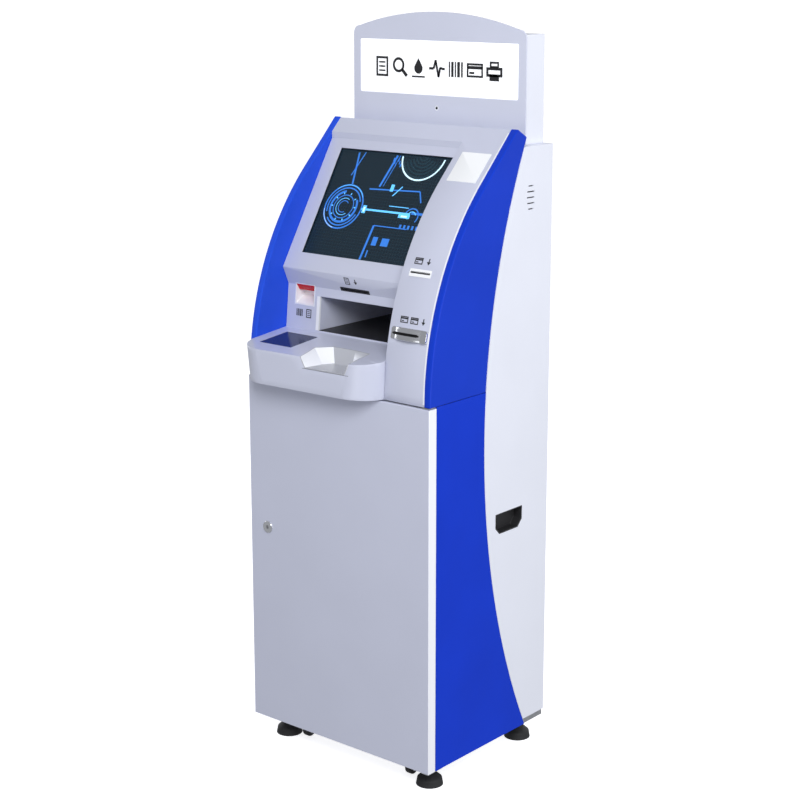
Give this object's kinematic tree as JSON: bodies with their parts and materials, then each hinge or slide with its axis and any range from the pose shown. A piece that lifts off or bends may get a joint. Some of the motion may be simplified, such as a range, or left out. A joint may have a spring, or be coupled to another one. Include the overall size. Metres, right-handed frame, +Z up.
{
  "type": "self-service report and card kiosk",
  "caption": "Free-standing service kiosk with leaning touch screen, console with scoop, card, receipt and report slots, front and rear doors, lit arched header and levelling feet.",
  "frame": {"origin": "centre of the footprint's box, on the floor under the feet", "axes": "+Z up, +X to the right of a person facing the screen, -Y out of the front"},
  "size_m": [0.56, 0.518, 1.7859],
  "materials": {
    "grey_paint": "satin powder coat",
    "white_paint": "satin powder coat",
    "blue_paint": "semi-gloss paint",
    "blue_cheek": "gloss lacquer",
    "zinc_steel": "zinc plated",
    "white_plastic": "moulded, semi-gloss",
    "black_plastic": "moulded, fine texture",
    "grey_plastic": "moulded, fine texture",
    "rubber": "matt",
    "screen_glass": "clear touch glass",
    "reader_glass": "dark infrared glass",
    "red_window": "red filter",
    "sign_acrylic": "opal, back-lit",
    "tube_glass": "frosted",
    "silver_bezel": "satin plated",
    "brass": "satin",
    "steel": "bright",
    "paper": "thermal paper",
    "pc_paint": "black powder coat",
    "circuit": "circuit board and housing"
  },
  "bodies": {
    "cabinet": {"inner_frame": "zinc_steel", "side_panel_right": "blue_paint", "side_panel_left": "blue_paint", "cheek_right": "blue_cheek", "cheek_left": "blue_cheek", "rear_housing": "white_paint", "base_plate": "zinc_steel", "front_cover": "grey_paint", "screen_fascia": "grey_paint", "touch_glass": "screen_glass", "lcd_monitor": "black_plastic", "monitor_screws": "steel", "console_shelf": "grey_paint", "id_reader_window": "reader_glass", "pickup_scoop": "white_plastic", "id_reader": "black_plastic", "scanner_niche": "white_plastic", "scanner_window": "red_window", "barcode_scanner": "circuit", "receipt_bezel": "black_plastic", "receipt_printer": "black_plastic", "report_bay": "grey_paint", "bay_trim": "white_plastic", "report_printer": "black_plastic", "card_plate": "white_plastic", "card_reader": "black_plastic", "bank_card_bezel": "silver_bezel", "bank_card_reader": "black_plastic", "notice_plate": "white_plastic", "header_plate": "grey_paint", "sign_panel": "sign_acrylic", "header_light_box": "white_paint", "led_tubes": "tube_glass", "camera_module": "circuit", "door_pivots": "steel", "side_handles": "black_plastic", "caster_brackets": "steel", "fan_housing": "black_plastic", "computer": "pc_paint", "power_inlet": "black_plastic"},
    "front_door": {"front_door": "grey_paint", "front_lock": "brass"},
    "front_lock_cam": {"front_lock_cam": "steel"},
    "rear_door": {"rear_door": "white_paint", "rear_lock": "steel"},
    "rear_lock_cam": {"rear_lock_cam": "steel"},
    "receipt_lid": {"receipt_lid": "grey_plastic"},
    "platen_roller": {"platen_roller": "rubber"},
    "paper_roll": {"paper_roll": "paper"},
    "exit_rollers": {"exit_rollers": "rubber"},
    "paper_cassette": {"paper_cassette": "grey_plastic"},
    "card_shutter": {"card_shutter": "black_plastic"},
    "foot_front_left": {"foot_front_left": "rubber"},
    "foot_front_right": {"foot_front_right": "rubber"},
    "foot_back_left": {"foot_back_left": "rubber"},
    "foot_back_right": {"foot_back_right": "rubber"},
    "caster_wheel_left": {"caster_wheel_left": "rubber"},
    "caster_wheel_right": {"caster_wheel_right": "rubber"},
    "fan_rotor": {"fan_rotor": "black_plastic"},
    "power_switch": {"power_switch": "black_plastic"}
  },
  "joints": [
    {"name": "front_door_hinge", "type": "hinge", "parent": "cabinet", "child": "front_door", "pos_m": [0.272, -0.189, 0.495], "axis": [0, 0, 1], "range_deg": [0, 110]},
    {"name": "front_lock_turn", "type": "hinge", "parent": "front_door", "child": "front_lock_cam", "pos_m": [-0.223, -0.177, 0.559], "axis": [0, 1, 0], "range_deg": [0, 90]},
    {"name": "rear_door_hinge", "type": "hinge", "parent": "cabinet", "child": "rear_door", "pos_m": [0.1909, 0.2515, 0.785], "axis": [0, 0, -1], "range_deg": [0, 95]},
    {"name": "rear_lock_turn", "type": "hinge", "parent": "rear_door", "child": "rear_lock_cam", "pos_m": [-0.178, 0.255, 0.8], "axis": [0, 1, 0], "range_deg": [0, 90]},
    {"name": "receipt_lid_hinge", "type": "hinge", "parent": "cabinet", "child": "receipt_lid", "pos_m": [-0.04425, 0.021, 1.218], "axis": [1, 0, 0], "range_deg": [0, 55]},
    {"name": "paper_roll_turn", "type": "hinge", "parent": "cabinet", "child": "paper_roll", "pos_m": [-0.04425, 0.071, 1.183], "axis": [1, 0, 0], "continuous": true},
    {"name": "platen_turn", "type": "hinge", "parent": "cabinet", "child": "platen_roller", "pos_m": [-0.04425, -0.011, 1.154], "axis": [1, 0, 0], "continuous": true},
    {"name": "exit_roller_turn", "type": "hinge", "parent": "cabinet", "child": "exit_rollers", "pos_m": [-0.01, 0.237, 1.044], "axis": [1, 0, 0], "continuous": true},
    {"name": "cassette_slide", "type": "slide", "parent": "cabinet", "child": "paper_cassette", "axis": [0, -1, 0], "range_m": [0, 0.08]},
    {"name": "shutter_slide", "type": "slide", "parent": "cabinet", "child": "card_shutter", "axis": [0, 0.2257, 0.9742], "range_m": [0, 0.0066]},
    {"name": "caster_left_roll", "type": "hinge", "parent": "cabinet", "child": "caster_wheel_left", "pos_m": [-0.167, -0.119, 0.022], "axis": [1, 0, 0], "continuous": true},
    {"name": "caster_right_roll", "type": "hinge", "parent": "cabinet", "child": "caster_wheel_right", "pos_m": [0.167, -0.119, 0.022], "axis": [1, 0, 0], "continuous": true},
    {"name": "fan_spin", "type": "hinge", "parent": "cabinet", "child": "fan_rotor", "pos_m": [0.265, 0.1745, 1.368], "axis": [1, 0, 0], "continuous": true},
    {"name": "switch_rock", "type": "hinge", "parent": "cabinet", "child": "power_switch", "pos_m": [-0.082, 0.251, 0.107], "axis": [1, 0, 0], "range_deg": [-10, 0]},
    {"name": "foot_front_left_screw", "type": "slide", "parent": "cabinet", "child": "foot_front_left", "axis": [0, 0, -1], "range_m": [0, 0.02]},
    {"name": "foot_front_right_screw", "type": "slide", "parent": "cabinet", "child": "foot_front_right", "axis": [0, 0, -1], "range_m": [0, 0.02]},
    {"name": "foot_back_left_screw", "type": "slide", "parent": "cabinet", "child": "foot_back_left", "axis": [0, 0, -1], "range_m": [0, 0.02]},
    {"name": "foot_back_right_screw", "type": "slide", "parent": "cabinet", "child": "foot_back_right", "axis": [0, 0, -1], "range_m": [0, 0.02]}
  ],
  "couplings": [
    {"joint": "platen_turn", "follows": "paper_roll_turn", "ratio": 5}
  ]
}
